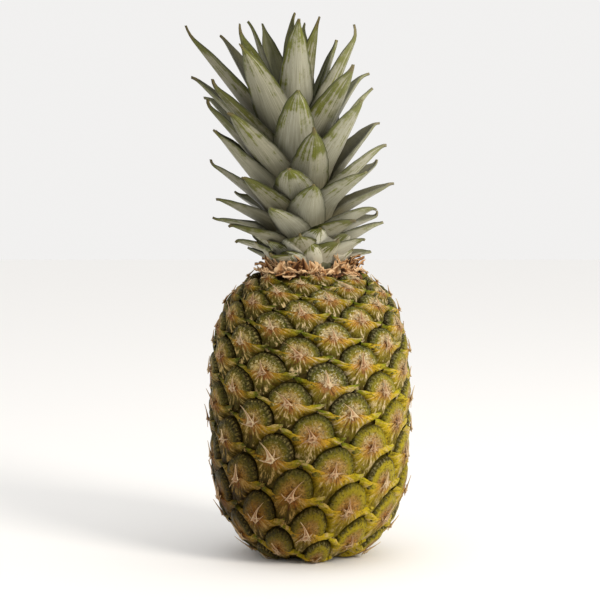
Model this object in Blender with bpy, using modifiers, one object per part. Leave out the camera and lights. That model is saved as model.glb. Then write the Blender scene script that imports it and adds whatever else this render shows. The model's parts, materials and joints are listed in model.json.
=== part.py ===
"""A whole pineapple standing on its base, in metres, +Z up, origin in the middle of the cut stem's face.

Four pieces: the fruit with its spiral of eyes, the end of the stalk it was cut from, the ring of dry bracts
on its shoulder and the leafy crown. Eyes and leaves both follow the golden angle, one after another.
"""

import math
import random

import bmesh
import bpy
import numpy as np
from mathutils import Matrix, Vector

GOLDEN_TURN = math.radians(137.5077)
GAP = 0.0003  # left between pieces that touch

# The fruit: a turned body, widest at WIDEST_AT, whose outline is a rounded box above and a fuller egg below.
GIRTH_RADIUS = 0.0553
WIDEST_AT = 0.0810
SHOULDER_HEIGHT = 0.0850
BELLY_DEPTH = 0.0840
SHOULDER_CURVE = (2.9, 3.5)
BELLY_CURVE = (2.0, 3.2)
SEAT_RADIUS = 0.0270  # the flat top that the crown grew from
SEAT_Z = 0.1634

# Its eyes, counted from one near the widest ring: each turns by about the golden angle and rises a little.
EYES_BELOW, EYES_ABOVE = 65, 52
EYE_TURN = math.radians(137.45)
FIRST_EYE_TURN = math.radians(-81.3)
FIRST_EYE_RISE = 0.0270
EYE_RISE = 0.001475
EYE_SHRINK = 2.13  # rows close up towards the crown, per metre of rise
EYE_WIDENING = 0.104  # eyes are this much wider on one side of the fruit, and narrower on the other
EYE_TWIST = -35.2  # rows bend round the fruit, in radians per square metre of rise from TWIST_FROM
TWIST_FROM = 0.020
GROOVE_DEPTH = 0.0006
BRACT_TIP_LENGTH = 0.0100

# The stalk's end, flush with the base.
STALK_RADIUS = 0.0120
STALK_DEPTH = 0.0060

# The ring of dry bracts between the fruit and the crown.
COLLAR_INNER, COLLAR_OUTER, COLLAR_TOP = 0.0203, 0.0268, 0.0036
COLLAR_STRIPS = 44

# The crown: a short stem, leaning a little, with leaves from short and spreading to long and upright.
CROWN_LEAVES = 62
CROWN_FIRST_TURN = math.radians(-90 + 240.9)
CROWN_LEAN = math.radians(-7.38)
LOWEST_LEAF, LEAF_RISE = 0.0034, 0.001062
STEM_RADII = (
    (0.0, 0.0192),
    (0.016, 0.0197),
    (0.036, 0.0190),
    (0.050, 0.0150),
    (0.064, 0.0090),
    (0.076, 0.0040),
    (0.122, 0.0010),
)
# share of the way up: (base slope, tip slope, length, width), slopes in degrees above level, sizes in metres
LEAF_FORMS = (
    (0.00, (49.0, 19.4, 0.0222, 0.0165)),
    (0.15, (51.7, 19.1, 0.0350, 0.0205)),
    (0.30, (58.1, 30.5, 0.0425, 0.0240)),
    (0.45, (66.2, 42.7, 0.0536, 0.0262)),
    (0.60, (71.8, 42.5, 0.0667, 0.0272)),
    (0.75, (77.8, 55.6, 0.0836, 0.0272)),
    (0.88, (81.0, 58.5, 0.0910, 0.0260)),
    (1.00, (85.5, 80.8, 0.0844, 0.0200)),
)
LEAF_STATIONS = (0.0, 0.12, 0.27, 0.42, 0.70, 1.0)
LEAF_BEND_END = 0.40  # a leaf leaves the stem steeply and has bent outwards by this share of its length
LEAF_THICKNESS = 0.0019
LEAF_SEED = 5547


def clear_scene():
    for obj in list(bpy.data.objects):
        bpy.data.objects.remove(obj)


def collection_for(name):
    collection = bpy.data.collections.new(name)
    bpy.context.scene.collection.children.link(collection)
    return collection


def material(name, color, roughness):
    """A plain Principled BSDF in linear colour."""
    made = bpy.data.materials.new(name)
    made.use_nodes = True
    shader = made.node_tree.nodes["Principled BSDF"]
    shader.inputs["Base Color"].default_value = (*color, 1.0)
    shader.inputs["Roughness"].default_value = roughness
    return made


def mesh_object(name, verts, faces, collection, finish=None):
    mesh = bpy.data.meshes.new(name)
    mesh.from_pydata([tuple(v) for v in verts], [], faces)
    mesh.update()
    obj = bpy.data.objects.new(name, mesh)
    collection.objects.link(obj)
    if finish:
        mesh.materials.append(finish)
    return obj


def lerp_table(table, at):
    """The value, number or tuple, of a table of (place, value) pairs at one place, between its rows."""
    for (a, low), (b, high) in zip(table, table[1:]):
        if at <= b:
            share = (at - a) / (b - a)
            if isinstance(low, tuple):
                return tuple(x + (y - x) * share for x, y in zip(low, high))
            return low + (high - low) * share
    return table[-1][1]


# ---------------------------------------------------------------- the fruit


def outline_radius(height):
    """Radius of the turned body at a height above (or below) its widest ring."""
    curve, reach = (SHOULDER_CURVE, SHOULDER_HEIGHT) if height > 0 else (BELLY_CURVE, BELLY_DEPTH)
    return GIRTH_RADIUS * max(0.0, 1 - abs(height / reach) ** curve[1]) ** (1 / curve[0])


OUTLINE_HEIGHTS = np.linspace(-BELLY_DEPTH, SHOULDER_HEIGHT, 1601)
OUTLINE_RADII = np.array([outline_radius(h) for h in OUTLINE_HEIGHTS])
OUTLINE_ARC = np.concatenate([[0], np.cumsum(np.hypot(np.diff(OUTLINE_HEIGHTS), np.diff(OUTLINE_RADII)))])
OUTLINE_ARC -= np.interp(0, OUTLINE_HEIGHTS, OUTLINE_ARC)


def on_fruit(turn, rise, lift):
    """The point at a turn round the axis and a rise along the skin, lifted off it along its normal."""
    turn += EYE_TWIST * (rise - TWIST_FROM) ** 2
    turn += EYE_WIDENING * math.cos(turn)
    arc = rise - EYE_SHRINK * rise * rise
    height = np.interp(arc, OUTLINE_ARC, OUTLINE_HEIGHTS)
    radius = np.interp(arc, OUTLINE_ARC, OUTLINE_RADII)
    nearby = (arc - 0.002, arc + 0.002)
    rise_slope = float(np.diff(np.interp(nearby, OUTLINE_ARC, OUTLINE_HEIGHTS))[0])
    turn_slope = float(np.diff(np.interp(nearby, OUTLINE_ARC, OUTLINE_RADII))[0])
    size = math.hypot(rise_slope, turn_slope)
    radius += lift * rise_slope / size
    z = WIDEST_AT + height - lift * turn_slope / size
    return Vector((radius * math.cos(turn), radius * math.sin(turn), max(z, 0.0)))


def eye_place(index):
    """(turn, rise) of an eye's root, where its disc and bract meet."""
    return FIRST_EYE_TURN + index * EYE_TURN, FIRST_EYE_RISE + index * EYE_RISE


def flat_step(count):
    """How far an eye lies from the one `count` before it, on the skin unrolled: (across, up) in metres."""
    turn = (count * EYE_TURN + math.pi) % (2 * math.pi) - math.pi
    return Vector((turn * GIRTH_RADIUS, count * EYE_RISE))


# The eyes stand in 8 shallow and 13 steep rows. Each has a cell with a corner up, down, left and right.
ROW_OF_8 = flat_step(8)
ROW_OF_13 = flat_step(13)


class FruitSkin:
    """Collects the points and triangles of the skin. Points are shared by key, so that cells meet."""

    def __init__(self):
        self.points = []
        self.faces = []
        self.keyed = {}

    def point(self, place, key=None):
        if key is not None and key in self.keyed:
            return self.keyed[key]
        self.points.append(place)
        if key is not None:
            self.keyed[key] = len(self.points) - 1
        return len(self.points) - 1

    def bridge(self, outer, inner):
        """Triangles between two closed loops of (angle, point), each sorted by angle, outer on the outside."""
        outer, inner = list(outer), list(inner)
        start = min(range(len(inner)), key=lambda k: abs(inner[k][0] - outer[0][0]))
        inner = inner[start:] + [(angle + 2 * math.pi, point) for angle, point in inner[:start]]
        a, b = 0, 0
        while a < len(outer) or b < len(inner):
            next_outer = outer[(a + 1) % len(outer)][0] + 2 * math.pi * ((a + 1) // len(outer))
            next_inner = inner[(b + 1) % len(inner)][0] + 2 * math.pi * ((b + 1) // len(inner))
            at_outer, at_inner = outer[a % len(outer)][1], inner[b % len(inner)][1]
            if b >= len(inner) or (a < len(outer) and next_outer <= next_inner):
                self.faces.append((at_outer, outer[(a + 1) % len(outer)][1], at_inner))
                a += 1
            else:
                self.faces.append((at_outer, inner[(b + 1) % len(inner)][1], at_inner))
                b += 1


def cell_border(index):
    """The eight points round an eye's cell as (key, across, up), anticlockwise from the right-hand corner."""
    a, b = ROW_OF_8, ROW_OF_13
    bulge_8, bulge_13 = Vector((0.0009, 0.0007)), Vector((-0.0008, 0.0009))
    offsets = (
        (("corner", index - 13), (a - b) / 2),
        (("along8", index), a / 2 + bulge_8),
        (("corner", index), (a + b) / 2),
        (("along13", index), b / 2 + bulge_13),
        (("corner", index - 8), (b - a) / 2),
        (("along8", index - 8), bulge_8 - a / 2),
        (("corner", index - 21), (-a - b) / 2),
        (("along13", index - 13), bulge_13 - b / 2),
    )
    return [(key, offset.x, offset.y) for key, offset in offsets]


# An eye about its root, as (across, up, lift) in millimetres, anticlockwise from the right: the half dome of the
# disc above, and the bract below it with a wing to each side and a foot that runs down between two discs.
RIM_FORM = (
    (14.6, -3.0, 2.2),
    (10.6, 3.2, 2.6),
    (7.7, 9.0, 2.6),
    (2.8, 12.6, 2.5),
    (-2.8, 12.4, 2.5),
    (-7.7, 9.0, 2.6),
    (-10.6, 4.8, 2.6),
    (-14.6, 3.4, 2.2),
    (-9.0, -4.6, 1.6),
    (-4.6, -13.2, 1.1),
    (0.6, -11.5, 1.3),
    (6.0, -7.6, 1.6),
)
SWELL_FORM = (
    (8.0, -1.6, 3.4),
    (6.4, 3.4, 3.4),
    (3.2, 8.2, 3.6),
    (-3.2, 8.2, 3.6),
    (-6.4, 3.4, 3.4),
    (-8.0, 1.6, 3.4),
    (-4.0, -4.2, 3.2),
    (2.4, -4.4, 3.2),
)
ROOT_FORM = ((1.5, -0.3, 3.2), (0.0, 1.6, 2.4), (-1.5, 0.1, 3.2))


def add_eye(skin, index, chance):
    turn, rise = eye_place(index)
    swell = chance.uniform(0.88, 1.12)

    def place(across, up, lift):
        return on_fruit(turn + across / GIRTH_RADIUS, rise + up, lift)

    def ring(form):
        made = []
        for across, up, lift in form:
            spot = place(across / 1000, up / 1000, lift * swell / 1000)
            made.append((math.atan2(up, across) % (2 * math.pi), skin.point(spot)))
        return sorted(made)

    border = []
    for key, across, up in cell_border(index):
        border.append((math.atan2(up, across) % (2 * math.pi), skin.point(place(across, up, -GROOVE_DEPTH), key)))
    border.sort()
    rim, inner, root = ring(RIM_FORM), ring(SWELL_FORM), ring(ROOT_FORM)
    skin.bridge(border, rim)
    skin.bridge(rim, inner)
    skin.bridge(inner, root)
    # The dry tip of the bract stands up from the root and over the disc.
    length = BRACT_TIP_LENGTH * chance.uniform(0.7, 1.1)
    side = chance.uniform(-0.3, 0.3)
    tip = skin.point(place(side * length, length, 0.0056 * chance.uniform(0.9, 1.15)))
    for k in range(3):
        skin.faces.append((root[k][1], root[(k + 1) % 3][1], tip))


def round_loop(skin, radius, z, count):
    angles = [2 * math.pi * k / count for k in range(count)]
    return [(a, skin.point(Vector((radius * math.cos(a), radius * math.sin(a), z)))) for a in angles]


def open_ends(skin):
    """The two loops of points where the eyes stop, each sorted by angle: (below, above)."""
    seen = set()
    for a, b, c in skin.faces:
        seen |= {(a, b), (b, c), (c, a)}
    loose = {a for a, b in seen if (b, a) not in seen}
    loops = ([], [])
    for point in loose:
        place = skin.points[point]
        loops[place.z > WIDEST_AT].append((math.atan2(place.y, place.x) % (2 * math.pi), point))
    return sorted(loops[0]), sorted(loops[1])


def turned_over(skin, outer, inner):
    """Bridges two loops that are seen from below, where anticlockwise is the other way."""
    before = len(skin.faces)
    skin.bridge(outer, inner)
    skin.faces[before:] = [(a, c, b) for a, b, c in skin.faces[before:]]


def build_fruit(collection, finish):
    chance = random.Random(11)
    skin = FruitSkin()
    for index in range(-EYES_BELOW, EYES_ABOVE + 1):
        add_eye(skin, index, chance)
    below, above = open_ends(skin)
    # The top: a flat seat for the crown.
    seat = round_loop(skin, SEAT_RADIUS, SEAT_Z, 20)
    skin.bridge(above, seat)
    middle = skin.point(Vector((0, 0, SEAT_Z)))
    for k in range(len(seat)):
        skin.faces.append((seat[k][1], seat[(k + 1) % len(seat)][1], middle))
    # The base: flat round the stalk, with a shallow round hole that the stalk's end fills.
    hole = STALK_RADIUS + GAP
    mouth = round_loop(skin, hole, 0.0, 20)
    floor = round_loop(skin, hole, STALK_DEPTH + GAP, 20)
    turned_over(skin, below, mouth)
    turned_over(skin, mouth, floor)
    middle = skin.point(Vector((0, 0, STALK_DEPTH + GAP)))
    for k in range(len(floor)):
        skin.faces.append((floor[(k + 1) % len(floor)][1], floor[k][1], middle))
    fruit = mesh_object("fruit", skin.points, skin.faces, collection, finish)
    fruit.data.shade_smooth()
    return fruit


# ---------------------------------------------------------------- the stalk's cut end


def build_stalk(collection, finish):
    shape = bmesh.new()
    bmesh.ops.create_cone(
        shape,
        cap_ends=True,
        segments=24,
        radius1=STALK_RADIUS * math.cos(math.pi / 24),
        radius2=STALK_RADIUS * math.cos(math.pi / 24) * 0.96,
        depth=STALK_DEPTH,
        matrix=Matrix.Translation((0, 0, STALK_DEPTH / 2)),
    )
    mesh = bpy.data.meshes.new("stalk_end")
    shape.to_mesh(mesh)
    shape.free()
    obj = bpy.data.objects.new("stalk_end", mesh)
    collection.objects.link(obj)
    mesh.materials.append(finish)
    return obj


# ---------------------------------------------------------------- blades joined to a body


def joined(name, body, blades, collection, finish):
    """One mesh of a body and the blades rooted in it, by one Boolean union."""
    union = body.modifiers.new("blades", "BOOLEAN")
    union.operation = "UNION"
    union.operand_type = "COLLECTION"
    union.collection = blades
    union.solver = "MANIFOLD"
    bpy.context.view_layer.update()
    evaluated = body.evaluated_get(bpy.context.evaluated_depsgraph_get())
    mesh = bpy.data.meshes.new_from_object(evaluated)
    mesh.name = name
    for obj in [body, *blades.objects]:
        bpy.data.objects.remove(obj)
    bpy.data.collections.remove(blades)
    drop_scraps(mesh)
    mesh.materials.clear()
    mesh.materials.append(finish)
    obj = bpy.data.objects.new(name, mesh)
    collection.objects.link(obj)
    return obj


def drop_scraps(mesh):
    """Keeps the largest closed shell: it fills sealed hollows and drops loose scraps."""
    shape = bmesh.new()
    shape.from_mesh(mesh)
    shape.verts.ensure_lookup_table()
    unseen = set(shape.verts)
    shells = []
    while unseen:
        front = [unseen.pop()]
        shell = set(front)
        while front:
            vert = front.pop()
            for edge in vert.link_edges:
                other = edge.other_vert(vert)
                if other in unseen:
                    unseen.discard(other)
                    shell.add(other)
                    front.append(other)
        shells.append(shell)
    shells.sort(key=len, reverse=True)
    extra = [v for shell in shells[1:] for v in shell]
    bmesh.ops.delete(shape, geom=extra, context="VERTS")
    shape.to_mesh(mesh)
    shape.free()


def turned_body(name, profile, sides, collection):
    """A closed solid turned round Z from (radius, z) points that start and end on the axis, top first."""
    mesh = bpy.data.meshes.new(name)
    mesh.from_pydata([(r, 0, z) for r, z in profile], [(k, k + 1) for k in range(len(profile) - 1)], [])
    obj = bpy.data.objects.new(name, mesh)
    collection.objects.link(obj)
    screw = obj.modifiers.new("turned", "SCREW")
    screw.steps = screw.render_steps = sides
    screw.use_merge_vertices = True
    screw.merge_threshold = 0.00001
    return obj


# ---------------------------------------------------------------- the crown


def crown_place():
    """Sets the crown on the fruit's seat, leaning sideways over a level foot."""
    lean = Matrix.Shear("XY", 4, (math.tan(CROWN_LEAN), 0))
    return Matrix.Translation((0, 0, SEAT_Z + GAP)) @ lean


def leaf_line(form, start, count=24):
    """Points along a leaf's middle in its upright plane, as (out, z, slope), its slope easing from base to tip."""
    base_slope, tip_slope, length, _ = form
    out, z = start
    points = [(out, z, math.radians(base_slope))]
    for k in range(count):
        bent = min((k + 0.5) / count / LEAF_BEND_END, 1.0)
        slope = math.radians(base_slope + (tip_slope - base_slope) * bent * bent * (3 - 2 * bent))
        out += length / count * math.cos(slope)
        z += length / count * math.sin(slope)
        points.append((out, z, slope))
    return points


def leaf_width(along):
    """Width along a leaf as a share of its widest: broadest where it clasps the stem, then tapering to the point."""
    return 1 - along**2.3


def leaf_blade(share, turn, chance):
    """(points, faces) of one leaf: a channelled blade with a keel, closed at its root and its point."""
    form = lerp_table(LEAF_FORMS, share)
    form = (
        form[0] + chance.uniform(-4, 4),
        form[1] + chance.uniform(-9, 9),
        form[2] * chance.uniform(0.88, 1.12),
        form[3] * chance.uniform(0.94, 1.06),
    )
    height = LOWEST_LEAF + LEAF_RISE * share * (CROWN_LEAVES - 1)
    line = leaf_line(form, (lerp_table(STEM_RADII, height) - 0.0030, height))
    roll = math.radians(chance.uniform(-9, 9))
    bend = chance.uniform(-0.08, 0.08)
    points = []
    for along in LEAF_STATIONS:
        at = along * (len(line) - 1)
        low = min(int(at), len(line) - 2)
        mix = at - low
        out, z, slope = (line[low][k] * (1 - mix) + line[low + 1][k] * mix for k in range(3))
        middle = Vector((out, bend * form[2] * along * along, z))
        if along == 1.0:
            points.append(middle)
            break
        across = Matrix.Rotation(roll * along, 3, Vector((math.cos(slope), 0, math.sin(slope)))) @ Vector((0, 1, 0))
        inward = Vector((math.cos(slope), 0, math.sin(slope))).cross(across)
        half = form[3] * leaf_width(along) / 2
        channel = half * (0.50 - 0.12 * along)
        thick = LEAF_THICKNESS * (1 - 0.45 * along)
        points += [
            middle - across * half + inward * channel,
            middle - inward * thick,
            middle + across * half + inward * channel,
            middle,
        ]
    faces = [(0, 3, 2, 1)]
    rings = len(LEAF_STATIONS) - 1
    for ring in range(rings - 1):
        for k in range(4):
            a, b = 4 * ring + k, 4 * ring + (k + 1) % 4
            faces.append((a, b, b + 4, a + 4))
    for k in range(4):
        faces.append((4 * (rings - 1) + k, 4 * (rings - 1) + (k + 1) % 4, 4 * rings))
    spin = Matrix.Rotation(turn, 4, "Z")
    return [crown_place() @ spin @ p for p in points], faces


def faces_outward(obj):
    """Makes a blade's faces point outwards, whichever way its ring ran."""
    shape = bmesh.new()
    shape.from_mesh(obj.data)
    bmesh.ops.recalc_face_normals(shape, faces=shape.faces)
    if shape.calc_volume(signed=True) < 0:
        bmesh.ops.reverse_faces(shape, faces=shape.faces)
    bmesh.ops.triangulate(shape, faces=shape.faces)
    shape.to_mesh(obj.data)
    shape.free()


def build_crown(collection, finish):
    chance = random.Random(LEAF_SEED)
    blades = collection_for("crown_blades")
    for index in range(CROWN_LEAVES):
        share = index / (CROWN_LEAVES - 1)
        turn = CROWN_FIRST_TURN - index * GOLDEN_TURN + math.radians(chance.uniform(-6, 6))
        points, faces = leaf_blade(share, turn, chance)
        faces_outward(mesh_object(f"leaf_{index}", points, faces, blades))
    profile = [(0, STEM_RADII[-1][0] + 0.002)]
    profile += [(radius, height) for height, radius in reversed(STEM_RADII)]
    profile += [(0, 0)]
    stem = turned_body("crown_stem", profile, 16, collection)
    bpy.context.view_layer.update()
    solid = bpy.data.meshes.new_from_object(stem.evaluated_get(bpy.context.evaluated_depsgraph_get()))
    solid.transform(crown_place())
    bpy.data.objects.remove(stem)
    stem = bpy.data.objects.new("crown_stem", solid)
    collection.objects.link(stem)
    return joined("crown", stem, blades, collection, finish)


# ---------------------------------------------------------------- the dry bracts


def dry_strip(turn, chance):
    """(points, faces) of one dry bract: a thin three-sided blade rooted in the ring, bent outwards."""
    slope = math.radians(chance.uniform(-14, 14))
    length = chance.uniform(0.009, 0.014)
    half = chance.uniform(0.0022, 0.0034)
    twist = chance.uniform(-0.5, 0.5)
    start = Vector((COLLAR_OUTER - 0.0042, 0, chance.uniform(0.0012, 0.0024)))
    along = Vector((math.cos(slope), math.sin(twist) * 0.5, math.sin(slope))).normalized()
    across = Vector((0, 1, 0.25 * twist)).normalized()
    normal = along.cross(across).normalized()
    points = [
        start - across * half,
        start + across * half,
        start + normal * 0.0013,
        start + along * length * 0.55 - across * half * 0.7 - Vector((0, 0, 0.0006)),
        start + along * length * 0.55 + across * half * 0.7 - Vector((0, 0, 0.0006)),
        start + along * length * 0.55 + normal * 0.0010,
        start + along * length + Vector((0, 0, chance.uniform(-0.0015, 0.0015))),
    ]
    faces = [(0, 1, 2), (0, 3, 4, 1), (1, 4, 5, 2), (2, 5, 3, 0), (3, 6, 4), (4, 6, 5), (5, 6, 3)]
    place = Matrix.Translation((0, 0, SEAT_Z + GAP)) @ Matrix.Rotation(turn, 4, "Z")
    return [place @ p for p in points], faces


def build_collar(collection, finish):
    chance = random.Random(23)
    blades = collection_for("collar_blades")
    for index in range(COLLAR_STRIPS):
        turn = index * GOLDEN_TURN + chance.uniform(-0.05, 0.05)
        points, faces = dry_strip(turn, chance)
        faces_outward(mesh_object(f"strip_{index}", points, faces, blades))
    mesh = bpy.data.meshes.new("ring")
    section = [
        (COLLAR_INNER, COLLAR_TOP),
        (COLLAR_INNER + 0.0022, COLLAR_TOP),
        (COLLAR_OUTER, 0.0022),
        (COLLAR_OUTER, 0.0),
        (COLLAR_INNER, 0.0),
    ]
    mesh.from_pydata([(r, 0, z) for r, z in section], [(k, (k + 1) % 5) for k in range(5)], [])
    ring = bpy.data.objects.new("ring", mesh)
    collection.objects.link(ring)
    screw = ring.modifiers.new("turned", "SCREW")
    screw.steps = screw.render_steps = 24
    screw.use_merge_vertices = True
    screw.merge_threshold = 0.00001
    bpy.context.view_layer.update()
    solid = bpy.data.meshes.new_from_object(ring.evaluated_get(bpy.context.evaluated_depsgraph_get()))
    solid.transform(Matrix.Translation((0, 0, SEAT_Z + GAP)))
    bpy.data.objects.remove(ring)
    ring = bpy.data.objects.new("ring", solid)
    collection.objects.link(ring)
    faces_outward(ring)
    return joined("dry_bracts", ring, blades, collection, finish)


def main():
    clear_scene()
    pineapple = collection_for("pineapple")
    build_fruit(pineapple, material("rind", (0.185, 0.122, 0.032), 0.55))
    build_stalk(pineapple, material("cut_stalk", (0.46, 0.33, 0.17), 0.85))
    build_collar(pineapple, material("dry_bract", (0.36, 0.18, 0.075), 0.8))
    build_crown(pineapple, material("crown_leaf", (0.23, 0.22, 0.14), 0.6))


main()
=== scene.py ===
import json
import math
import random
from functools import partial

import bpy
import numpy as np
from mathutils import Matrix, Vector

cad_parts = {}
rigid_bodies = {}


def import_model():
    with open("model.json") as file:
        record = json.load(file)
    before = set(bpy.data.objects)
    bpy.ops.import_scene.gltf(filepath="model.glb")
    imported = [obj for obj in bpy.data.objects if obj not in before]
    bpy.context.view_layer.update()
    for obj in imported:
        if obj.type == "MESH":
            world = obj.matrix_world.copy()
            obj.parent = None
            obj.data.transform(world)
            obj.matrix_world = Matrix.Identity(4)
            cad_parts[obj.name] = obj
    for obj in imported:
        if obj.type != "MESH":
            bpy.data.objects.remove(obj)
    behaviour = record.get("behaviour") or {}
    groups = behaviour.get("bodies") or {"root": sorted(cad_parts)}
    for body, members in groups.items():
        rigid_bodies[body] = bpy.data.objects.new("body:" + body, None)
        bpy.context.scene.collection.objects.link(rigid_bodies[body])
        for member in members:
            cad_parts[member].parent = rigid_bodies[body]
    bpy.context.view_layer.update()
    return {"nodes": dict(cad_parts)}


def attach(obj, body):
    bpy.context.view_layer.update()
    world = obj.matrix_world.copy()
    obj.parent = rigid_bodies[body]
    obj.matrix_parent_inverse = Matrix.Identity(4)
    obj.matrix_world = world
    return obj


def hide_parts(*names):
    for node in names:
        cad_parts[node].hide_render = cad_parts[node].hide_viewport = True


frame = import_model()

goldenTurn = math.radians(137.5077)
seatHeight = 0.1637  # the crown's foot stands here, on the fruit's top


def linear(hexCode):  # an sRGB hex colour as linear RGBA
    channels = [int(hexCode[k:k + 2], 16) / 255 for k in (1, 3, 5)]
    return (*[c / 12.92 if c <= 0.04045 else ((c + 0.055) / 1.055) ** 2.4 for c in channels], 1.0)


def feed(node, inputs):  # values and links into a node's sockets; a node stands for its first output in use
    for socket, value in inputs.items():
        if isinstance(value, bpy.types.Node):
            value = next(way for way in value.outputs if way.enabled)
        if isinstance(value, bpy.types.NodeSocket):
            node.id_data.links.new(value, node.inputs[socket])
        else:
            isColor = isinstance(value, str) and value.startswith("#")
            node.inputs[socket].default_value = linear(value) if isColor else value


# adds a node with its settings, and its values and links: in order for the sockets in use, the rest by name;
# a kind in capitals is what a Math node does
def addNode(tree, kind, *values, named=None, stops=(), **settings):
    kind, *operation = (f"Math {kind}" if kind.isupper() else kind).split()
    made = tree.nodes.new(kind if "Node" in kind else "ShaderNode" + kind)
    if operation:
        made.operation = operation[0]
    for name, value in settings.items():
        setattr(made, name, value)
    used = [number for number, way in enumerate(made.inputs) if way.enabled]
    feed(made, {**dict(zip(used, values)), **(named or {})})
    if stops:  # of a colour ramp: (place, hex colour or grey level)
        elements = made.color_ramp.elements
        while len(elements) < len(stops):
            elements.new(0.5)
        for element, (place, value) in zip(elements, stops):
            element.position = place
            element.color = linear(value) if isinstance(value, str) else (value, value, value, 1)
    return made


def newTree(name, sockets):  # a Geometry Nodes tree with named inputs: the tree, its node adder and its inputs
    tree = bpy.data.node_groups.new(name, "GeometryNodeTree")
    for label, kind in sockets.items():
        tree.interface.new_socket(label, in_out="INPUT", socket_type="NodeSocket" + kind)
    tree.interface.new_socket("Geometry", in_out="OUTPUT", socket_type="NodeSocketGeometry")
    return tree, partial(addNode, tree), tree.nodes.new("NodeGroupInput").outputs


def newMaterial(name, roughness, **sockets):  # a material, its node adder and its shader
    finish = bpy.data.materials.new(name)
    finish.use_nodes = True
    shader = finish.node_tree.nodes["Principled BSDF"]
    feed(shader, {"Roughness": roughness, **{label.replace("_", " "): value for label, value in sockets.items()}})
    return finish, partial(addNode, finish.node_tree), shader


def coat(add, shader, color, relief, strength, depth):  # gives a shader its colour and its fine relief
    bumps = add("Bump", named={"Height": relief, "Strength": strength, "Distance": depth})
    feed(shader, {"Base Color": color, "Normal": bumps})


def addPiece(name, mesh, finish=None):
    piece = bpy.data.objects.new(name, mesh)
    piece.data.name = name
    bpy.context.scene.collection.objects.link(piece)
    if finish:
        mesh.materials.clear()
        mesh.materials.append(finish)
    return piece


def grow(name, mesh, tree, values):  # runs a tree on a mesh and keeps the result as a plain object
    seedObject = bpy.data.objects.new(name + "Seed", mesh)
    bpy.context.scene.collection.objects.link(seedObject)
    modifier = seedObject.modifiers.new("grow", "NODES")
    modifier.node_group = tree
    for item in tree.interface.items_tree:
        if item.in_out == "INPUT" and item.name in values:
            modifier[item.identifier] = values[item.name]
    bpy.context.view_layer.update()
    plain = bpy.data.meshes.new_from_object(seedObject.evaluated_get(bpy.context.evaluated_depsgraph_get()))
    bpy.data.objects.remove(seedObject)
    return addPiece(name, plain)


def gridFaces(rows, columns, closed=False, start=0):  # quads over rows of points, row by row
    faces = []
    for row in range(rows - 1):
        for column in range(columns if closed else columns - 1):
            a = start + row * columns + column
            b = start + row * columns + (column + 1) % columns
            faces.append((a, b, b + columns, a + columns))
    return faces


def flipped(faces):  # the same quads seen from behind
    return [(a, d, c, b) for a, b, c, d in faces]


def capFaces(first, around, tip):  # triangles from a ring of points to one point
    return [(first + k, first + (k + 1) % around, tip) for k in range(around)]


def sheetFaces(rows, columns, start=0, upperFirst=False):  # both sides of a thin sheet and the rim between them
    count = rows * columns
    near = gridFaces(rows, columns, start=start)
    far = [tuple(corner + count for corner in face) for face in near]
    rim = list(range(columns)) + [row * columns + columns - 1 for row in range(1, rows)]
    rim += [(rows - 1) * columns + column for column in range(columns - 2, -1, -1)]
    rim = [start + corner for corner in rim + [row * columns for row in range(rows - 2, 0, -1)]]
    faces = near + flipped(far) if upperFirst else flipped(near) + far
    for a, b in zip(rim, rim[1:] + rim[:1]):
        faces.append((b, a, a + count, b + count) if upperFirst else (a, b, b + count, a + count))
    return faces


def ringPoints(section, around):  # a section of (radius, height) turned round the axis
    angles = [2 * math.pi * k / around for k in range(around)]
    return [(r * math.cos(angle), r * math.sin(angle), z) for r, z in section for angle in angles]


def turnedPoints(out, sideways, up, turn):  # points out, to the side and up from the axis, turned about it
    x = out * math.cos(turn) - sideways * math.sin(turn)
    y = out * math.sin(turn) + sideways * math.cos(turn)
    return np.stack([x, y, up], 1)


def meshFrom(name, points, faces, maps=None, smooth=True):  # maps: UV values per point, by name
    mesh = bpy.data.meshes.new(name)
    mesh.from_pydata([tuple(p) for p in points], [], faces)
    for label, values in (maps or {}).items():
        layer = mesh.uv_layers.new(name=label)
        corner = np.empty(len(mesh.loops), np.int32)
        mesh.loops.foreach_get("vertex_index", corner)
        layer.data.foreach_set("uv", np.asarray(values, np.float32)[corner].ravel())
    if smooth:
        mesh.shade_smooth()
    return mesh


def blankCollection(name, meshes):  # the shapes that a tree picks from, kept out of the render
    collection = bpy.data.collections.new(name)
    for number, mesh in enumerate(meshes):
        collection.objects.link(bpy.data.objects.new(f"{name}{number}", mesh))
    return collection


def dropCollection(collection):
    for blank in list(collection.objects):
        bpy.data.objects.remove(blank)
    bpy.data.collections.remove(collection)


def readPoints(mesh):
    places = np.empty(len(mesh.vertices) * 3, np.float32)
    mesh.vertices.foreach_get("co", places)
    return places.reshape(-1, 3).astype(np.float64)


def readAttribute(mesh, name):
    values = np.empty(len(mesh.attributes[name].data), np.float32)
    mesh.attributes[name].data.foreach_get("value", values)
    return values.astype(np.float64)


def writeAttribute(mesh, name, values):
    layer = mesh.attributes.new(name, "FLOAT", "POINT")
    layer.data.foreach_set("value", np.asarray(values, np.float32))


def smoothStep(low, high, value):
    share = np.clip((value - low) / (high - low), 0, 1)
    return share * share * (3 - 2 * share)


# one blank on each point, picked by chance, marked with its own number and made real
def setBlanks(add, give, points, pick, own, mark, **more):
    blanks = add("GeometryNodeCollectionInfo", named={
        "Collection": give["blanks"], "Separate Children": True, "Reset Children": True,
    })
    placed = add("GeometryNodeInstanceOnPoints", named={
        "Points": points, "Instance": blanks, "Pick Instance": True,
        "Instance Index": add("FLOOR", add("MULTIPLY", pick, give["kinds"])), **more,
    })
    marked = add("GeometryNodeStoreNamedAttribute", data_type="FLOAT", domain="INSTANCE", named={
        "Geometry": placed, "Name": mark, "Value": own,
    })
    return add("GeometryNodeRealizeInstances", marked)


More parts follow.
